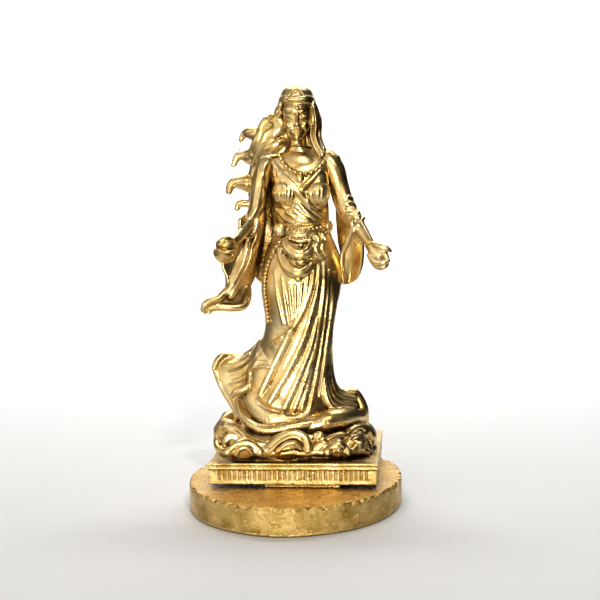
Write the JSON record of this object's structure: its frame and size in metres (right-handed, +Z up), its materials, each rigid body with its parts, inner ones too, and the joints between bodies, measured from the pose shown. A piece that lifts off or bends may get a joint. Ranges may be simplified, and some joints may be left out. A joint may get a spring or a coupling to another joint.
{
  "type": "yemanja figurine",
  "caption": "Standing draped woman with open hands above curling waves on a fluted plinth and a round base.",
  "frame": {"origin": "centre of the round base's underside, where the figurine rests", "axes": "+Z up along the figure, -Y towards the side the figure's plinth faces, +X to the right of someone looking at that side"},
  "size_m": [0.1, 0.0999, 0.1947],
  "materials": {
    "gold_figure": "cast resin under metallic gold paint, glossy with fine brush marks and some rough grains",
    "gold_base": "sawn board disc under brushed metallic gold paint, rough specks and a chipped top rim"
  },
  "bodies": {
    "root": {"figurine": "gold_figure", "round_base": "gold_base"}
  },
  "joints": []
}
